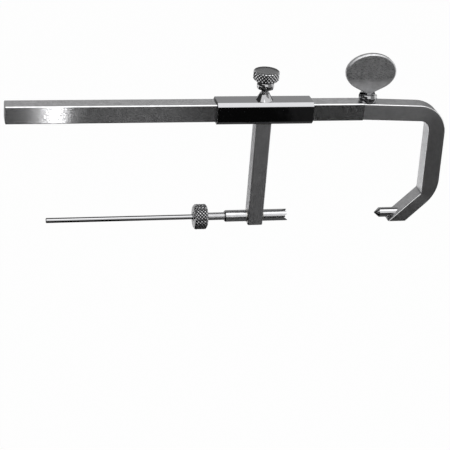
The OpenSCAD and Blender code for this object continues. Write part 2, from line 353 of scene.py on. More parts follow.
def knurl_rows(start, length, radius):
    """Rows of a diamond knurl, with its grooves cut into the radius."""
    halves = max(2, 2*round(length/KNURL_PITCH))
    count = halves*KNURL_CUTS
    rows = []
    for j in range(count + 1):
        up = j/(2*KNURL_CUTS)
        along = start + length*j/count

        def spot(k, up=up, along=along):
            turn = k/(2*KNURL_CUTS)
            high = min(triangle_wave(turn + up), triangle_wave(turn - up))
            return along, radius - KNURL_DEPTH*(1 - min(1, high/KNURL_FLAT))
        rows.append(spot)
    return rows


def knurl_split(first, last):
    """Splits the knurl's cells, from its first row to its last, along its grooves."""
    def split(j, k):
        if not first <= j < last:
            return None
        return ((j - first)//KNURL_CUTS + k//KNURL_CUTS) % 2 == 0
    return split


def shade_parts(mesh, axis, centre, knurl, radius, materials):
    """Gives a knurled piece darker steels that paint shade in its grooves, under a screw's head and on its
    flat ends, and its own steel on the collar.
    """
    for material in materials:
        mesh.materials.append(material)
    depth = radius - KNURL_DEPTH*GROOVE_SHARE
    for face in mesh.polygons:
        spot = face.center - Vector(centre)
        along = spot[axis]
        spot[axis] = 0
        facing = abs(face.normal[axis])
        # Faces deep in the knurl take painted shade, and the crests keep their own steel
        if knurl[0] < along < knurl[1]:
            face.material_index = GROOVE if spot.length < depth else CREST
        # Below a screw's knurl, the head's underside and rim take the groove's painted shade, and the
        # collar and shank keep their own steel
        elif along < knurl[0] and axis == 2:
            inner = spot.length < depth - KNURL_DEPTH
            face.material_index = COLLAR if inner and facing < HEAD_END_FACING else GROOVE
        # Flat ends take a darker steel: painted shade
        elif facing > KNURL_END_FACING:
            face.material_index = END


def thread_rows(start, end, radius, around):
    """Rows of a screw thread whose crest has the given radius."""
    count = round((end - start)/THREAD_PITCH*THREAD_STEPS)
    rows = []
    for j in range(count + 1):
        along = start + (end - start)*j/count

        def spot(k, along=along):
            share = triangle_wave(along/THREAD_PITCH - k/around)
            return along, radius - THREAD_DEPTH*(1 - min(1, share/THREAD_FLAT))
        rows.append(spot)
    return rows


def ball_rows(centre, radius, low, high, steps):
    """Rows of a ball about the height centre, cut flat at the heights low and high."""
    a0 = math.asin(max(-1, (low - centre)/radius))
    a1 = math.asin(min(1, (high - centre)/radius))
    angles = [a0 + (a1 - a0)*i/steps for i in range(steps + 1)]
    return [(centre + radius*math.sin(a), radius*math.cos(a)) for a in angles]


def brush_uv(bm, along):
    """Lays each face out flat, with U across the brush marks and V along them."""
    layer = bm.loops.layers.uv.new("brush")
    for face in bm.faces:
        way = along if abs(face.normal.dot(along)) < END_FACING else Vector((0, 1, 0))
        across = face.normal.cross(way).normalized()
        for loop in face.loops:
            loop[layer].uv = (loop.vert.co.dot(across), loop.vert.co.dot(way))


def flat_faces(piece):
    """Keeps the broad faces flat in the light, and bends it on the bevels alone."""
    weights = piece.modifiers.new("flats", "WEIGHTED_NORMAL")
    weights.mode = "FACE_AREA"
    weights.weight = FLATNESS
    weights.keep_sharp = True


def weigh_edges(bm, share, end):
    """Bevel weights of the edges: full round the end face at one X, a share at the others."""
    layer = bm.edges.layers.float.new("bevel_weight_edge")
    for edge in bm.edges:
        if edge.calc_face_angle(0) > EDGE_ANGLE:
            at_end = all(abs(v.co.x - end) < FINE_BEVEL for v in edge.verts)
            edge[layer] = 1.0 if at_end else share


def round_edges(piece, width, weighed):
    """Bevels a piece's edges, picked by their weights or by their angle."""
    rounding = piece.modifiers.new("edges", "BEVEL")
    rounding.width = width
    rounding.segments = BEVEL_STEPS
    rounding.limit_method = "WEIGHT" if weighed else "ANGLE"
    rounding.angle_limit = EDGE_ANGLE
    flat_faces(piece)


def bevelled_copy(node, name, body, slot, materials, bevel, along, end_round=0):
    """A CAD node's mesh as a new piece, its edges rounded and its end faces in the last material, which for
    the bar and the slider is a darker steel that paints shade.
    """
    mesh = NODES[node].data.copy()
    mesh.name = name
    mesh.materials.clear()
    while mesh.uv_layers:
        mesh.uv_layers.remove(mesh.uv_layers[0])
    bm = bmesh.new()
    bm.from_mesh(mesh)
    bmesh.ops.remove_doubles(bm, verts=bm.verts, dist=CAD_MERGE)
    bmesh.ops.dissolve_limit(bm, angle_limit=FLAT_ANGLE, verts=bm.verts, edges=bm.edges)
    bmesh.ops.recalc_face_normals(bm, faces=bm.faces)
    if end_round:
        weigh_edges(bm, bevel/end_round, LOW[node].x)
    brush_uv(bm, along)
    bm.to_mesh(mesh)
    bm.free()
    for material in materials:
        mesh.materials.append(material)
    for face in mesh.polygons:
        # End faces take the last material: painted shade on the bar's and the slider's ends
        face.material_index = len(materials) - 1 if abs(face.normal.x) > END_FACING else 0
    mesh.shade_smooth()
    piece = finish_piece(mesh, name, body, slot, materials[0], node)
    round_edges(piece, end_round or bevel, bool(end_round))
    return piece


def cut_with(piece, cutter):
    """Cuts one mesh out of a piece, and keeps the result as the piece's own mesh."""
    blade = bpy.data.objects.new("blade", cutter)
    bpy.context.scene.collection.objects.link(blade)
    cut = piece.modifiers.new("cut", "BOOLEAN")
    cut.operation = "DIFFERENCE"
    cut.solver = "EXACT"
    cut.object = blade
    graph = bpy.context.evaluated_depsgraph_get()
    shaped = bpy.data.meshes.new_from_object(piece.evaluated_get(graph), depsgraph=graph)
    piece.modifiers.remove(cut)
    piece.data = shaped
    bpy.data.objects.remove(blade)
    shaped.shade_smooth()
    shaped.set_sharp_from_angle(angle=SHARP_ANGLE)


def cut_box(piece, low, high):
    """Cuts a square slot out of a piece."""
    bm = bmesh.new()
    bmesh.ops.create_cube(bm, size=1.0)
    for vert in bm.verts:
        vert.co = [lo if c < 0 else hi for c, lo, hi in zip(vert.co, low, high)]
    mesh = bpy.data.meshes.new("slot")
    bm.to_mesh(mesh)
    bm.free()
    cut_with(piece, mesh)


def cut_bore(piece, axis, centre, start, end, radius, around):
    """Cuts a round hole out of a piece."""
    rows = [(start, 0), (start, radius), (end, radius), (end, 0)]
    cut_with(piece, turned("bore", axis, centre, rows, around))


# Turned pieces

def lock_screw(materials):
    """Clamp screw: threaded shank, ball collar and knurled head."""
    low, high = LOW["lock_screw"], HIGH["lock_screw"]
    centre = (middle_x("lock_screw"), 0, 0)
    head_r = (high.x - low.x)/2
    head_z = high.z - HEAD_H
    collar_z = head_z - COLLAR_H
    boss_z = HIGH["slider_boss"].z
    shank_r = SCREW_D/2
    around = knurl_columns(head_r)
    rows = [(low.z, 0), (low.z, shank_r - THREAD_DEPTH), (low.z + THREAD_DEPTH, shank_r),
            (boss_z - SHANK_SINK, shank_r)]
    rows += thread_rows(boss_z - THREAD_SINK, collar_z - THREAD_RUNOUT, shank_r, around)
    rows.append((collar_z - NECK, shank_r - THREAD_DEPTH))
    rows += ball_rows(collar_z + COLLAR_H/3, COLLAR_R, collar_z, head_z, COLLAR_STEPS)
    rows += [(head_z, head_r - HEAD_BEVEL - RIM), (head_z + RIM/3, head_r - HEAD_BEVEL)]
    first = len(rows)
    rows += knurl_rows(head_z + HEAD_BEVEL, HEAD_H - HEAD_BEVEL - HEAD_TOP_BEVEL, head_r)
    split = knurl_split(first, len(rows) - 1)
    rows += [(high.z - RIM/2, head_r - HEAD_TOP_BEVEL), (high.z, head_r - HEAD_TOP_BEVEL - RIM),
             (high.z, head_r/2), (high.z, 0)]
    mesh = turned("lock_screw_turned", "Z", centre, rows, around, split=split)
    shade_parts(mesh, 2, centre, (head_z + HEAD_BEVEL, high.z - HEAD_TOP_BEVEL), head_r, materials)
    return finish_piece(mesh, "lock_screw_turned", "lock", "knurled_steel", materials[0], "lock_screw")


def slider_boss(material):
    """Flared boss, bored for the lock screw."""
    low, high = LOW["slider_boss"], HIGH["slider_boss"]
    base_r = (high.x - low.x)/2
    top_r = BOSS_TOP_D/2
    bore_r = SCREW_D/2 + THREAD_GAP
    run = high.z - low.z
    rows = [(low.z, bore_r)]
    for i in range(FLARE_STEPS + 1):
        t = i/FLARE_STEPS
        rows.append((low.z + t*(run - RIM/2), top_r + (base_r - top_r)*(1 - t)**FLARE_SHARE))
    rows += [(high.z, top_r - RIM), (high.z, bore_r + RIM), (high.z - RIM, bore_r)]
    mesh = turned("boss_turned", "Z", (middle_x("slider_boss"), 0, 0), rows, closed=True)
    return finish_piece(mesh, "boss_turned", "slider", "polished_steel", material, "slider_boss")


def guide_sleeve(material):
    """Drill sleeve with four teeth at its nose."""
    low, high = LOW["guide_sleeve"], HIGH["guide_sleeve"]
    outer = radius_of("guide_sleeve")
    bore = radius_of("insert_tube") + INSERT_GAP
    mouth = TOOTH_SHARE*2*outer
    root_x = high.x - TOOTH_DEPTH - TOOTH_ROOM

    def edge(radius):
        def spot(k):
            turn = 2*math.pi*k/SIDES
            side = radius*min(abs(math.sin(turn)), abs(math.cos(turn)))
            return high.x - TOOTH_DEPTH*max(0, 1 - side/mouth), radius
        return spot
    rows = [(low.x + RIM, bore), (low.x, bore + RIM), (low.x, outer - SLEEVE_BEVEL),
            (low.x + SLEEVE_BEVEL, outer), (low.x + 2*SLEEVE_BEVEL, outer),
            (root_x, outer), edge(outer), edge(bore), (root_x, bore)]
    mesh = turned("sleeve_turned", "X", axis_of("guide_sleeve"), rows, closed=True, lengthwise=True)
    return finish_piece(mesh, "sleeve_turned", "slider", "polished_steel", material, "guide_sleeve")


def insert_tube(material):
    """Reducing tube inside the guide sleeve."""
    low, high = LOW["insert_tube"], HIGH["insert_tube"]
    outer = radius_of("insert_tube")
    bore = radius_of("drill_wire") + WIRE_GAP
    rows = [(low.x + RIM, bore), (low.x, bore + RIM), (low.x, outer - RIM), (low.x + RIM, outer),
            (high.x - RIM, outer), (high.x, outer - RIM), (high.x, bore + RIM), (high.x - RIM, bore)]
    centre = axis_of("insert_tube")
    mesh = turned("insert_turned", "X", centre, rows, SMALL_SIDES, closed=True, lengthwise=True)
    return finish_piece(mesh, "insert_turned", "insert", "satin_steel", material, "insert_tube")


def insert_knob(materials):
    """Knurled knob on the insert, countersunk at its rear."""
    low, high = LOW["insert_knob"], HIGH["insert_knob"]
    centre = axis_of("insert_knob")
    outer = radius_of("insert_knob")
    bore = radius_of("insert_tube") + SOLDER_GAP
    knurl = (low.x + KNOB_BEVEL, high.x - KNOB_BEVEL)
    rows = [(low.x + LEAD_IN, bore), (low.x, bore + LEAD_IN), (low.x, outer - KNOB_BEVEL - RIM),
            (low.x + RIM/2, outer - KNOB_BEVEL)]
    first = len(rows)
    rows += knurl_rows(knurl[0], high.x - low.x - 2*KNOB_BEVEL, outer)
    split = knurl_split(first, len(rows) - 1)
    rows += [(high.x - RIM/2, outer - KNOB_BEVEL), (high.x, outer - KNOB_BEVEL - RIM), (high.x, bore)]
    mesh = turned("knob_turned", "X", centre, rows, knurl_columns(outer), closed=True, split=split)
    shade_parts(mesh, 0, centre, knurl, outer, materials)
    return finish_piece(mesh, "knob_turned", "insert", "knurled_steel", materials[0], "insert_knob")


def drill_wire(material):
    """Drill wire with a ground point and a chamfered shank."""
    low, high = LOW["drill_wire"], HIGH["drill_wire"]
    r = radius_of("drill_wire")
    start = low.x + WIRE_BEVEL
    run = high.x - low.x - WIRE_BEVEL - WIRE_POINT
    rows = [(low.x, 0), (low.x, r - WIRE_BEVEL), (start, r)]
    rows += [(start + run*i/WIRE_STEPS, r) for i in range(1, WIRE_STEPS + 1)]
    rows.append((high.x, 0))
    mesh = turned("wire_ground", "X", axis_of("drill_wire"), rows, THIN_SIDES)
    return finish_piece(mesh, "wire_ground", "wire", "polished_steel", material, "drill_wire")


def aim_pin(material):
    """Pointed pin that faces the sleeve."""
    low, high = LOW["aim_pin"], HIGH["aim_pin"]
    r = radius_of("aim_pin")
    rows = [(low.x + along*PIN_POINT, share*r) for along, share in PIN_NOSE]
    rows += [(low.x + PIN_POINT + RIM, r), (high.x - RIM, r), (high.x, r - RIM), (high.x, 0)]
    mesh = turned("pin_turned", "X", axis_of("aim_pin"), rows, SMALL_SIDES)
    return finish_piece(mesh, "pin_turned", "hook", "polished_steel", material, "aim_pin")


def spade_stud(material):
    """Stud and ball collar of the thumb screw, slotted for the paddle."""
    low, high = LOW["spade_stud"], HIGH["spade_stud"]
    x = middle_x("spade_stud")
    r = SCREW_D/2
    seat = high.z - BALL_H
    centre = seat + BALL_RISE
    rows = [(low.z, 0), (low.z, r - RIM), (low.z + RIM, r), (seat - NECK, r)]
    rows += ball_rows(centre, BALL_D/2, seat, high.z, BALL_STEPS)
    rows.append((high.z, 0))
    mesh = turned("stud_turned", "Z", (x, 0, 0), rows)
    piece = finish_piece(mesh, "stud_turned", "spade", "polished_steel", material, "spade_stud")
    half_w = (HIGH["spade_paddle"].y - LOW["spade_paddle"].y)/2 + SOLDER_GAP
    cut_box(piece, (x - BALL_D, -half_w, centre + SLOT_FLOOR), (x + BALL_D, half_w, centre + BALL_D))
    return piece


# Paddle

def hull(points):
    """Convex outline of flat points, anticlockwise."""
    points = sorted(set(points))

    def half(run):
        out = []
        for p in run:
            while len(out) > 1 and ((out[-1][0] - out[-2][0])*(p[1] - out[-2][1])
                                    <= (out[-1][1] - out[-2][1])*(p[0] - out[-2][0])):
                out.pop()
            out.append(p)
        return out[:-1]
    return half(points) + half(points[::-1])


def inset(outline, margin):
    """An outline drawn in by a margin."""
    out = []
    count = len(outline)
    for i, p in enumerate(outline):
        before = Vector(p) - Vector(outline[i - 1])
        after = Vector(outline[(i + 1) % count]) - Vector(p)
        n0 = Vector((-before.y, before.x)).normalized()
        n1 = Vector((-after.y, after.x)).normalized()
        way = (n0 + n1).normalized()
        out.append(Vector(p) + way*margin/max(MITRE_LIMIT, way.dot(n0)))
    return out


def paddle_outline(x, tip_z):
    """Outline of the paddle: an oval that runs down to a narrow tip."""
    low, high = LOW["spade_paddle"], HIGH["spade_paddle"]
    oval_z = HIGH["spade_stud"].z + PADDLE_RISE
    half_w = (high.x - low.x)/2
    half_h = high.z - oval_z
    turns = [2*math.pi*i/SIDES for i in range(SIDES)]
    oval = [(x + half_w*math.cos(t), oval_z + half_h*math.sin(t)) for t in turns]
    return hull(oval + [(x - TANG_W/2, tip_z), (x + TANG_W/2, tip_z)])


def plate(outline, layers):
    """Points and faces of an upright plate whose outline is drawn in by a margin at each Y."""
    count = len(outline)
    points = [(p[0], y, p[1]) for margin, y in layers for p in inset(outline, margin)]
    faces = []
    for j in range(len(layers) - 1):
        for k in range(count):
            n = (k + 1) % count
            faces.append([j*count + k, j*count + n, (j + 1)*count + n, (j + 1)*count + k])
    faces.append(list(range(count)))
    faces.append([(len(layers) - 1)*count + k for k in range(count)])
    return points, faces


def block(corners, half_t, first):
    """Points and faces of a flat block on Y 0, whose first point has the given number."""
    points = [(x, y, z) for y in (-half_t, half_t) for x, z in corners]
    faces = [[first, first + 1, first + 2, first + 3], [first + 4, first + 5, first + 6, first + 7]]
    for i in range(4):
        n = (i + 1) % 4
        faces.append([first + i, first + n, first + 4 + n, first + 4 + i])
    return points, faces


def spade_paddle(material):
    """Oval paddle of the thumb screw, with a rolled edge and a tang in the ball's slot."""
    low, high = LOW["spade_paddle"], HIGH["spade_paddle"]
    x = middle_x("spade_paddle")
    half_t = (high.y - low.y)/2
    tip_z = HIGH["spade_stud"].z + TIP_RISE
    layers = [(PADDLE_BEVEL*margin, -half_t*share) for margin, share in PADDLE_EDGE]
    layers += [(margin, -y) for margin, y in reversed(layers)]
    points, faces = plate(paddle_outline(x, tip_z), layers)
    left, right, top = x - TANG_W/2, x + TANG_W/2, tip_z + TANG_OVER
    tang = block([(left, low.z), (right, low.z), (right, top), (left, top)], half_t, len(points))
    points += tang[0]
    faces += tang[1]
    uvs = [[(points[i][2], points[i][0]) for i in face] for face in faces]
    mesh = mesh_of("paddle_pressed", points, faces, uvs)
    piece = finish_piece(mesh, "paddle_pressed", "spade", "satin_steel", material, "spade_paddle")
    flat_faces(piece)
    return piece


# Hook

def meet(n, a, m, b):
    """Point at height a along direction n and at height b along direction m."""
    det = n[0]*m[1] - n[1]*m[0]
    return (a*m[1] - b*n[1])/det, (b*n[0] - a*m[0])/det


def arc(centre, radius, a0, a1):
    """Points of an arc in the X and Z plane, its angles in radians."""
    angles = [a0 + (a1 - a0)*i/ARC_STEPS for i in range(ARC_STEPS + 1)]
    return [(centre[0] + radius*math.cos(a), centre[1] + radius*math.sin(a)) for a in angles]


def eased(side, step):
    """Adds a point a short step in from each end of a side, so that the end faces get a bevel."""
    first = Vector(side[0]) + (Vector(side[1]) - Vector(side[0])).normalized()*step
    last = Vector(side[-1]) + (Vector(side[-2]) - Vector(side[-1])).normalized()*step
    return [side[0], tuple(first)] + side[1:-1] + [tuple(last), side[-1]]


def hook_sides():
    """Outer and inner side of the hook, paired point by point from the limb to the foot."""
    bar_l = LOW["hook_arm"].x
    leg_x = HIGH["hook_arm"].x
    foot_z = LOW["hook_arm"].z
    heel_x = leg_x - FOOT_IN
    toe_x = heel_x - FOOT_T/math.sin(FOOT_SLOPE)
    leg_n = (math.cos(LEG_LEAN), math.sin(LEG_LEAN))
    limb_n = (math.sin(LIMB_FALL), math.cos(LIMB_FALL))
    foot_n = (-math.sin(FOOT_SLOPE), math.cos(FOOT_SLOPE))
    bend_x = leg_x - BEND_R
    bend_z = bend_x - heel_x + foot_z + BEND_R/math.sin(FOOT_SLOPE)
    leg_out = bend_x*leg_n[0] + bend_z*leg_n[1] + BEND_R
    leg_in = leg_out - LEG_W
    limb_up = bar_l*limb_n[0] + LIMB_TOP*limb_n[1]
    limb_low = limb_up - LIMB_H*limb_n[1]
    foot_up = toe_x*foot_n[0] + foot_z*foot_n[1]
    corner = meet(leg_n, leg_out - CORNER_R, limb_n, limb_up - CORNER_R)
    fillet = meet(leg_n, leg_in - INNER_R, limb_n, limb_low - INNER_R)
    crook = meet(leg_n, leg_in - CROOK_R, foot_n, foot_up + CROOK_R)
    high_a = math.pi/2 - LIMB_FALL
    outer = [(bar_l, LIMB_TOP)] + arc(corner, CORNER_R, high_a, LEG_LEAN)
    outer += arc((bend_x, bend_z), BEND_R, LEG_LEAN, -FOOT_SLOPE) + [(heel_x, foot_z)]
    inner = [(bar_l, LIMB_TOP - LIMB_H)] + arc(fillet, INNER_R, high_a, LEG_LEAN)
    inner += arc(crook, CROOK_R, LEG_LEAN, -FOOT_SLOPE) + [(toe_x, foot_z)]
    return eased(outer, END_BEVEL), eased(inner, END_BEVEL)


def hook_section(out_point, in_point, half_d, shrink):
    """Rounded section of the hook at one station, from the middle of its front face round."""
    a = Vector((in_point[0], 0, in_point[1]))
    b = Vector((out_point[0], 0, out_point[1]))
    way = (b - a).normalized()
    a = a + way*shrink
    b = b - way*shrink
    half = half_d - shrink
    span = (b - a).length
    loop = []
    for high, front in ((True, True), (True, False), (False, False), (False, True)):
        for i in range(HOOK_EDGE_STEPS + 1):
            t = math.pi/2*i/HOOK_EDGE_STEPS
            if high == front:
                t = math.pi/2 - t
            if high:
                up = span - HOOK_BEVEL + HOOK_BEVEL*math.cos(t)
            else:
                up = HOOK_BEVEL - HOOK_BEVEL*math.cos(t)
            y = half - HOOK_BEVEL + HOOK_BEVEL*math.sin(t)
            loop.append(a + way*up + Vector((0, -y if front else y, 0)))
    return loop


def hook_mesh():
    """Mesh of the hook before its holes are cut, with the brush marks laid along it."""
    outer, inner = hook_sides()
    half_d = (HIGH["hook_arm"].y - LOW["hook_arm"].y)/2
    ends = (0, len(outer) - 1)
    loops = []
    for i, (p, q) in enumerate(zip(outer, inner)):
        loops.append(hook_section(p, q, half_d, END_BEVEL if i in ends else 0))
    around = len(loops[0])
    points = [tuple(p) for loop in loops for p in loop]
    run = [0.0]
    for p, q, r, s in zip(outer, outer[1:], inner, inner[1:]):
        run.append(run[-1] + (math.dist(p, q) + math.dist(r, s))/2)
    girth = [0.0]
    middle = loops[len(loops)//2]
    for p, q in zip(middle, middle[1:] + middle[:1]):
        girth.append(girth[-1] + (q - p).length)
    faces, corners = grid(loops, around, False)
    uvs = [[(girth[c], run[r]) for r, c in pick] for pick in corners]
    for r, axis in zip(ends, (2, 0)):
        face = [r*around + c for c in range(around)]
        faces.append(face)
        uvs.append([(points[i][axis], points[i][1]) for i in face])
    return mesh_of("hook_forged", points, faces, uvs)


def cut_hook(piece):
    """Cuts the tongue's socket, the stud's hole and the pin's hole into the hook."""
    start = LOW["hook_arm"].x - CUT_OVER
    end = HIGH["main_bar"].x + SOCKET_ROOM
    half_d = TONGUE_D/2 + SOCKET_GAP
    half_h = TONGUE_H/2 + SOCKET_GAP
    cut_box(piece, (start, -half_d, -half_h), (end, half_d, half_h))
    stud = (middle_x("spade_stud"), 0, 0)
    cut_bore(piece, "Z", stud, 0, STUD_CUT, SCREW_D/2 + THREAD_GAP, THIN_SIDES)
    pin_end = HIGH["aim_pin"].x + SOLDER_GAP
    pin_r = radius_of("aim_pin") + SOLDER_GAP
    cut_bore(piece, "X", axis_of("aim_pin"), LOW["aim_pin"].x, pin_end, pin_r, SMALL_SIDES)


def hook_arm(materials):
    """Plug-in hook: rounded edges with a painted highlight, a socket for the tongue, and holes for the stud
    and the pin.
    """
    mesh = hook_mesh()
    for material in materials:
        mesh.materials.append(material)
    # The bevels take the lighter edge steel: a painted highlight along the edges, with a smoother polish
    for face in mesh.polygons:
        bevelled = BEVEL_FACING[0] < abs(face.normal.y) < BEVEL_FACING[1]
        face.material_index = 1 if bevelled else 0
    piece = finish_piece(mesh, "hook_forged", "hook", "satin_steel", materials[0], "hook_arm")
    cut_hook(piece)
    flat_faces(piece)
    return piece


# Braze

def fillet_ring(name, at, way, material):
    """Concave ring of braze round the guide sleeve, from a face of the arm at one X."""
    radius = radius_of("guide_sleeve")
    rows = []
    for i in range(BRAZE_STEPS + 1):
        t = math.pi/2*i/BRAZE_STEPS
        rows.append((at + way*BRAZE*(1 - math.cos(t)), radius + BRAZE*(1 - math.sin(t))))
    rows.append((at, radius))
    mesh = turned(name, "X", axis_of("guide_sleeve"), rows, closed=True)
    return finish_piece(mesh, name, "slider", "polished_steel", material)


def sleeve_braze(material):
    """Rings of braze where the guide sleeve enters and leaves the arm."""
    fillet_ring("sleeve_braze_rear", LOW["guide_arm"].x, -1, material)
    fillet_ring("sleeve_braze_front", HIGH["guide_arm"].x, 1, material)


def arm_ring(out, z):
    """Ring round the arm with rounded corners, drawn out from its faces by a distance."""
    low, high = LOW["guide_arm"], HIGH["guide_arm"]
    x = middle_x("guide_arm")
    to_x = (high.x - low.x)/2 - ARM_CORNER + min(out, 0)
    to_y = (high.y - low.y)/2 - ARM_CORNER + min(out, 0)
    r = ARM_CORNER + max(out, 0)
    ring = []
    for sx, sy, start in ((1, -1, -90), (1, 1, 0), (-1, 1, 90), (-1, -1, 180)):
        for turn in CORNER_TURNS:
            a = math.radians(start + turn)
            ring.append((x + sx*to_x + r*math.cos(a), sy*to_y + r*math.sin(a), z))
    return ring


def arm_braze(material):
    """Concave seam of braze where the guide arm meets the slider's underside."""
    top = HIGH["guide_arm"].z
    rings = []
    for i in range(BRAZE_STEPS + 1):
        t = math.pi/2*i/BRAZE_STEPS
        rings.append(arm_ring(BRAZE*(1 - math.sin(t)), top - BRAZE*(1 - math.cos(t))))
    rings += [arm_ring(-BRAZE_SINK, top - BRAZE), arm_ring(-BRAZE_SINK, top)]
    faces, corners = grid(rings, len(rings[0]), True)
    uvs = [[(BRAZE_UV[0]*r, BRAZE_UV[1]*c) for r, c in pick] for pick in corners]
    mesh = mesh_of("arm_braze", [p for ring in rings for p in ring], faces, uvs)
    return finish_piece(mesh, "arm_braze", "slider", "polished_steel", material)


# Materials

def grey(level, blue=0.01):
    """Steel's grey, a little blue."""
    return (level, level, level + blue)


def principled(name, colour, roughness):
    """Steel material: the material, its node tree and its shader."""
    material = bpy.data.materials.new(name)
    material.use_nodes = True
    tree = material.node_tree
    shader = tree.nodes["Principled BSDF"]
    shader.inputs["Base Color"].default_value = (*colour, 1)
    shader.inputs["Metallic"].default_value = 1.0
    shader.inputs["Roughness"].default_value = roughness
    return material, tree, shader


def feed(tree, socket, value):
    """Sets an input to a value, or links it to another node's output."""
    if isinstance(value, bpy.types.NodeSocket):
        tree.links.new(value, socket)
    else:
        socket.default_value = value


def add(tree, kind, **sockets):
    """A node with its inputs set or linked by name."""
    node = tree.nodes.new(kind)
    for key, value in sockets.items():
        feed(tree, node.inputs[key.replace("_", " ")], value)
    return node


def remap(tree, source, looks, span=(0.0, 1.0)):
    """A value's span laid out between two others."""
    node = add(tree, "ShaderNodeMapRange", Value=source, From_Min=span[0], From_Max=span[1],
               To_Min=looks[0], To_Max=looks[1])
    return node.outputs["Result"]


def blended(tree, share, first, second):
    """Two values mixed by a share."""
    node = add(tree, "ShaderNodeMix", Factor=share)
    feed(tree, node.inputs[2], first)
    feed(tree, node.inputs[3], second)
    return node.outputs[0]


def tint(tree, source, dark, light):
    """Two colours mixed by a value."""
    node = tree.nodes.new("ShaderNodeMix")
    node.data_type = "RGBA"
    tree.links.new(source, node.inputs[0])
    node.inputs[6].default_value = (*dark, 1)
    node.inputs[7].default_value = (*light, 1)
    return node.outputs[2]


def streaks(tree, across, along, detail):
    """Noise drawn out along the brush marks. The two pitches are in metres."""
    uv = tree.nodes.new("ShaderNodeUVMap")
    uv.uv_map = "brush"
    stretch = add(tree, "ShaderNodeMapping", Vector=uv.outputs[0], Scale=(1/across, 1/along, 1))
    noise = add(tree, "ShaderNodeTexNoise", Vector=stretch.outputs[0], Scale=1.0, Detail=detail,
                Roughness=NOISE_ROUGHNESS)
    return noise.outputs["Fac"]


def speckle(tree, size, detail=3.0):
    """Even noise in the object's own place, its size in metres."""
    place = tree.nodes.new("ShaderNodeTexCoord")
    noise = add(tree, "ShaderNodeTexNoise", Vector=place.outputs["Object"], Scale=1/size, Detail=detail)
    return noise.outputs["Fac"]


def dulled(tree, level, low, high, rough):
    """A roughness that grows to another one from the upper of two heights down to the lower."""
    place = tree.nodes.new("ShaderNodeTexCoord")
    split = add(tree, "ShaderNodeSeparateXYZ", Vector=place.outputs["Object"])
    near = remap(tree, split.outputs["Z"], (1.0, 0.0), (low, high))
    return blended(tree, near, level, rough)


def bump(tree, shader, height, distance):
    """Fine relief of the surface, in metres."""
    node = add(tree, "ShaderNodeBump", Height=height, Distance=distance)
    tree.links.new(node.outputs[0], shader.inputs["Normal"])


def brush_direction(tree, shader, anisotropy):
    """Draws the highlights out across the brush marks."""
    shader.inputs["Anisotropic"].default_value = anisotropy
    way = tree.nodes.new("ShaderNodeTangent")
    way.direction_type = "UV_MAP"
    way.uv_map = "brush"
    tree.links.new(way.outputs[0], shader.inputs["Tangent"])


def brushed_steel(name, dark, light, rough, anisotropy, pitch, depth, dull=None):
    """Satin steel: marks along the piece, some of them bright and sharp, the others dull and broad.

    Its surface can grow dull between two heights, which are given with the roughness reached there.
    """
    material, tree, shader = principled(name, light, rough[1])
    marks = streaks(tree, pitch, MARK_LENGTH*pitch, detail=2.0)
    grain = streaks(tree, GRAIN, GRAIN_LENGTH*GRAIN, detail=3.0)
    level = remap(tree, blended(tree, GRAIN_SHARE, marks, grain), rough, MARK_SPAN)
    if dull:
        level = dulled(tree, level, *dull)
    tree.links.new(level, shader.inputs["Roughness"])
    bands = streaks(tree, BAND_WIDTH*pitch, BAND_LENGTH*pitch, detail=3.0)
    tone = remap(tree, blended(tree, PATCH_SHARE, bands, speckle(tree, PATCH)), (0.0, 1.0), TONE_SPAN)
    tree.links.new(tint(tree, tone, dark, light), shader.inputs["Base Color"])
    brush_direction(tree, shader, anisotropy)
    bump(tree, shader, marks, depth)
    return material


def mottled_steel(name, colour, rough, size, shade):
    """Steel with an even mottle: the material, its node tree, its shader and the mottle."""
    material, tree, shader = principled(name, colour, rough[0])
    mottle = speckle(tree, size)
    darker = [c*shade for c in colour]
    tree.links.new(tint(tree, mottle, darker, colour), shader.inputs["Base Color"])
    tree.links.new(remap(tree, mottle, rough), shader.inputs["Roughness"])
    return material, tree, shader, mottle


def polished_steel(name, colour, rough, wave):
    """Bright steel with faint polishing haze and slightly uneven flats."""
    material, tree, shader, _ = mottled_steel(name, colour, rough, HAZE, HAZE_SHADE)
    bump(tree, shader, speckle(tree, WAVE_LENGTH, detail=1.0), wave)
    return material


def knurled_steel(name, colour, rough):
    """Cut steel of the knurls, with fine tool marks."""
    material, tree, shader, marks = mottled_steel(name, colour, rough, TOOL_MARK, TOOL_MARK_SHADE)
    bump(tree, shader, marks, TOOL_MARK_DEPTH)
    return material


# Studio

def make_camera():
    """Camera at the photograph's angle, rolled as the photograph is."""
    az, el, roll = (math.radians(a) for a in (VIEW_AZIMUTH, VIEW_ELEVATION, VIEW_ROLL))
    back = Vector((math.sin(az)*math.cos(el), -math.cos(az)*math.cos(el), math.sin(el)))
    level = Vector((math.cos(az), math.sin(az), 0))
    rise = back.cross(level)
    right = level*math.cos(roll) + rise*math.sin(roll)
    up = rise*math.cos(roll) - level*math.sin(roll)
    data = bpy.data.cameras.new("camera")
    data.sensor_width = VIEW_SENSOR
    data.sensor_fit = "HORIZONTAL"
    data.lens = VIEW_LENS
    data.clip_start = VIEW_NEAR
    data.clip_end = VIEW_FAR
    camera = bpy.data.objects.new("camera", data)
    bpy.context.scene.collection.objects.link(camera)
    place = Matrix((right, up, back)).transposed().to_4x4()
    place.translation = Vector(VIEW_TARGET) + back*VIEW_DISTANCE
    camera.matrix_world = place
    bpy.context.scene.camera = camera


def empty_tree(owner):
    """Node tree of a new world or material, with nothing in it."""
    owner.use_nodes = True
    owner.node_tree.nodes.clear()
    return owner.node_tree


def mix_shaders(tree, share, first, second):
    """Two shaders mixed by a value."""
    mix = tree.nodes.new("ShaderNodeMixShader")
    tree.links.new(share, mix.inputs[0])
    tree.links.new(first.outputs[0], mix.inputs[1])
    tree.links.new(second.outputs[0], mix.inputs[2])
    return mix


def lead_out(tree, shader, kind):
    """Leads a shader to the output of its tree."""
    out = tree.nodes.new(kind)
    tree.links.new(shader.outputs[0], out.inputs[0])


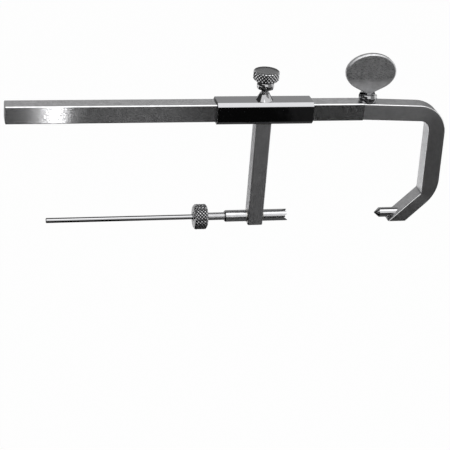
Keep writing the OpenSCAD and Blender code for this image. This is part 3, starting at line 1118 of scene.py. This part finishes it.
def seen_rays(tree):
    """1 for the rays that show the background: camera, glossy and transmission rays."""
    path = tree.nodes.new("ShaderNodeLightPath")
    value = path.outputs["Is Camera Ray"]
    for name in ("Is Glossy Ray", "Is Transmission Ray"):
        node = tree.nodes.new("ShaderNodeMath")
        node.operation = "MAXIMUM"
        tree.links.new(value, node.inputs[0])
        tree.links.new(path.outputs[name], node.inputs[1])
        value = node.outputs[0]
    return value


def make_world():
    """White surroundings to the eye and in the metal, softer as a light."""
    world = bpy.data.worlds.new("studio")
    bpy.context.scene.world = world
    world.cycles.sampling_method = "NONE"
    tree = empty_tree(world)
    soft = add(tree, "ShaderNodeBackground", Color=(1, 1, 1, 1), Strength=WORLD_LIGHT)
    white = add(tree, "ShaderNodeBackground", Color=(1, 1, 1, 1), Strength=1.0)
    lead_out(tree, mix_shaders(tree, seen_rays(tree), soft, white), "ShaderNodeOutputWorld")


def plane(name, corners, material):
    """Flat four-cornered object of the studio."""
    mesh = bpy.data.meshes.new(name)
    mesh.from_pydata(corners, [], [(0, 1, 2, 3)])
    mesh.materials.append(material)
    piece = bpy.data.objects.new(name, mesh)
    bpy.context.scene.collection.objects.link(piece)
    return piece


def level_corners(x0, x1, y0, y1, z):
    """Corners of a level rectangle."""
    return [(x0, y0, z), (x1, y0, z), (x1, y1, z), (x0, y1, z)]


def make_floor():
    """Plain pale floor, white to the eye, that keeps the object's shadow."""
    material = bpy.data.materials.new("floor")
    tree = empty_tree(material)
    matt = add(tree, "ShaderNodeBsdfDiffuse", Color=(FLOOR_COLOUR, FLOOR_COLOUR, FLOOR_COLOUR, 1))
    white = add(tree, "ShaderNodeEmission", Color=(1, 1, 1, 1), Strength=1.0)
    share = tree.nodes.new("ShaderNodeMath")
    share.operation = "MULTIPLY"
    tree.links.new(seen_rays(tree), share.inputs[0])
    share.inputs[1].default_value = FLOOR_WHITE
    lead_out(tree, mix_shaders(tree, share.outputs[0], matt, white), "ShaderNodeOutputMaterial")
    material.cycles.emission_sampling = "NONE"
    half = FLOOR_SIZE/2
    plane("floor", level_corners(-half, half, -half, half, FLOOR_Z), material)


def card(name, corners, level):
    """Studio card that only the metal sees, of an even grey level."""
    material = bpy.data.materials.new(name)
    tree = empty_tree(material)
    glow = add(tree, "ShaderNodeEmission", Color=(1, 1, 1, 1), Strength=level)
    lead_out(tree, glow, "ShaderNodeOutputMaterial")
    material.cycles.emission_sampling = "NONE"
    piece = plane(name, corners, material)
    piece.visible_camera = False
    piece.visible_diffuse = False
    piece.visible_shadow = False
    piece.visible_transmission = False
    return piece


def make_cards():
    """Dark flags below and in front, dark and grey cards behind and at the sides.

    The small flag before the wire also throws a shadow, which keeps the strip lamp's light off the wire.
    """
    cards = {}
    for name, x0, x1, y0, y1, level in LEVEL_CARDS:
        cards[name] = card(name, level_corners(x0, x1, y0, y1, CARD_Z), level)
    for name, start, end, low, high, level in UPRIGHT_CARDS:
        corners = [(*start, low), (*end, low), (*end, high), (*start, high)]
        cards[name] = card(name, corners, level)
    card("dark_above", ABOVE_CORNERS, ABOVE_LEVEL)
    cards["flag_wire"].visible_shadow = True


def lamp(name, place, target, size, size_y, level):
    """Soft rectangular lamp aimed at a point. Its level is the brightness that the metal sees."""
    data = bpy.data.lights.new(name, "AREA")
    data.shape = "RECTANGLE"
    data.size = size
    data.size_y = size_y
    data.energy = level*math.pi*size*size_y
    piece = bpy.data.objects.new(name, data)
    piece.location = place
    way = Vector(target) - Vector(place)
    piece.rotation_euler = way.to_track_quat("-Z", "Y").to_euler()
    piece.visible_camera = False
    bpy.context.scene.collection.objects.link(piece)


# Build

bpy.context.scene.view_settings.view_transform = "Standard"
make_camera()
make_world()
make_floor()
make_cards()
for settings in LAMPS:
    lamp(*settings)

bar_steel = brushed_steel("bar_steel", grey(0.56), grey(0.78), rough=(0.09, 0.23),
                          anisotropy=0.95, pitch=0.03*MM, depth=0.0012*MM)
hook_steel = brushed_steel("hook_steel", grey(0.54), grey(0.66), rough=(0.28, 0.44),
                           anisotropy=0.4, pitch=0.05*MM, depth=0.003*MM)
# A lighter, smoother copy of the hook's steel for its bevels: smooth polish, and a lighter colour that
# paints a highlight along the edges
edge_highlight_steel = brushed_steel("edge_highlight_steel", grey(0.84), grey(0.92), rough=(0.06, 0.16),
                           anisotropy=0.3, pitch=0.05*MM, depth=0.002*MM)
paddle_steel = brushed_steel("paddle_steel", grey(0.48), grey(0.70), rough=(0.24, 0.50),
                             anisotropy=0.4, pitch=0.05*MM, depth=0.003*MM, dull=PADDLE_DULL)
sleeve_steel = brushed_steel("sleeve_steel", grey(0.54), grey(0.68), rough=(0.10, 0.28),
                             anisotropy=0.6, pitch=0.05*MM, depth=0.003*MM)
tube_steel = brushed_steel("tube_steel", grey(0.52), grey(0.66), rough=(0.30, 0.42),
                           anisotropy=0.5, pitch=0.08*MM, depth=0.006*MM)
arm_steel = brushed_steel("arm_steel", grey(0.47), grey(0.57), rough=(0.38, 0.58),
                          anisotropy=0.3, pitch=0.05*MM, depth=0.004*MM)
mirror_steel = polished_steel("mirror_steel", grey(0.39), rough=(0.04, 0.09), wave=0.02*MM)
turned_steel = polished_steel("turned_steel", grey(0.62), rough=(0.07, 0.14), wave=0.004*MM)
collar_steel = polished_steel("collar_steel", grey(0.56), rough=(0.04, 0.09), wave=0.004*MM)
wire_steel = polished_steel("wire_steel", grey(0.56), rough=(0.02, 0.05), wave=0.001*MM)
braze_silver = polished_steel("braze_silver", (0.72, 0.70, 0.66), rough=(0.18, 0.30), wave=0.06*MM)
knurl_steel = knurled_steel("knurl_steel", grey(0.86), rough=(0.10, 0.20))
# Darker copies of the knurl steel, painted shade: in the grooves and under the screw's head, on the flat
# ends of the screw and the knob, and on the ends of the bar and the slider
groove_shade_steel = knurled_steel("groove_shade_steel", grey(0.16, 0.005), rough=(0.25, 0.40))
end_shade_steel = knurled_steel("end_shade_steel", grey(0.34, 0.005), rough=(0.18, 0.30))
knob_end_shade_steel = knurled_steel("knob_end_shade_steel", grey(0.22, 0.005), rough=(0.18, 0.30))
dark_end_shade_steel = knurled_steel("dark_end_shade_steel", grey(0.06, 0.002), rough=(0.25, 0.40))

# The bar's and the slider's end faces take the darkest steel, painted shade
bevelled_copy("main_bar", "bar_ground", "bar", "satin_steel", (bar_steel, dark_end_shade_steel),
              FINE_BEVEL, ALONG_BAR, BAR_END_ROUND)
bevelled_copy("slider_sleeve", "slider_polished", "slider", "polished_steel",
              (mirror_steel, dark_end_shade_steel), SLIDER_BEVEL, ALONG_BAR)
bevelled_copy("guide_arm", "arm_ground", "slider", "satin_steel", (arm_steel,), FINE_BEVEL, ALONG_ARM)
slider_boss(collar_steel)
lock_screw((knurl_steel, groove_shade_steel, end_shade_steel, collar_steel))
guide_sleeve(sleeve_steel)
insert_tube(tube_steel)
insert_knob((knurl_steel, groove_shade_steel, knob_end_shade_steel))
drill_wire(wire_steel)
hook_arm((hook_steel, edge_highlight_steel))
aim_pin(turned_steel)
spade_stud(collar_steel)
spade_paddle(paddle_steel)
arm_braze(braze_silver)
sleeve_braze(braze_silver)
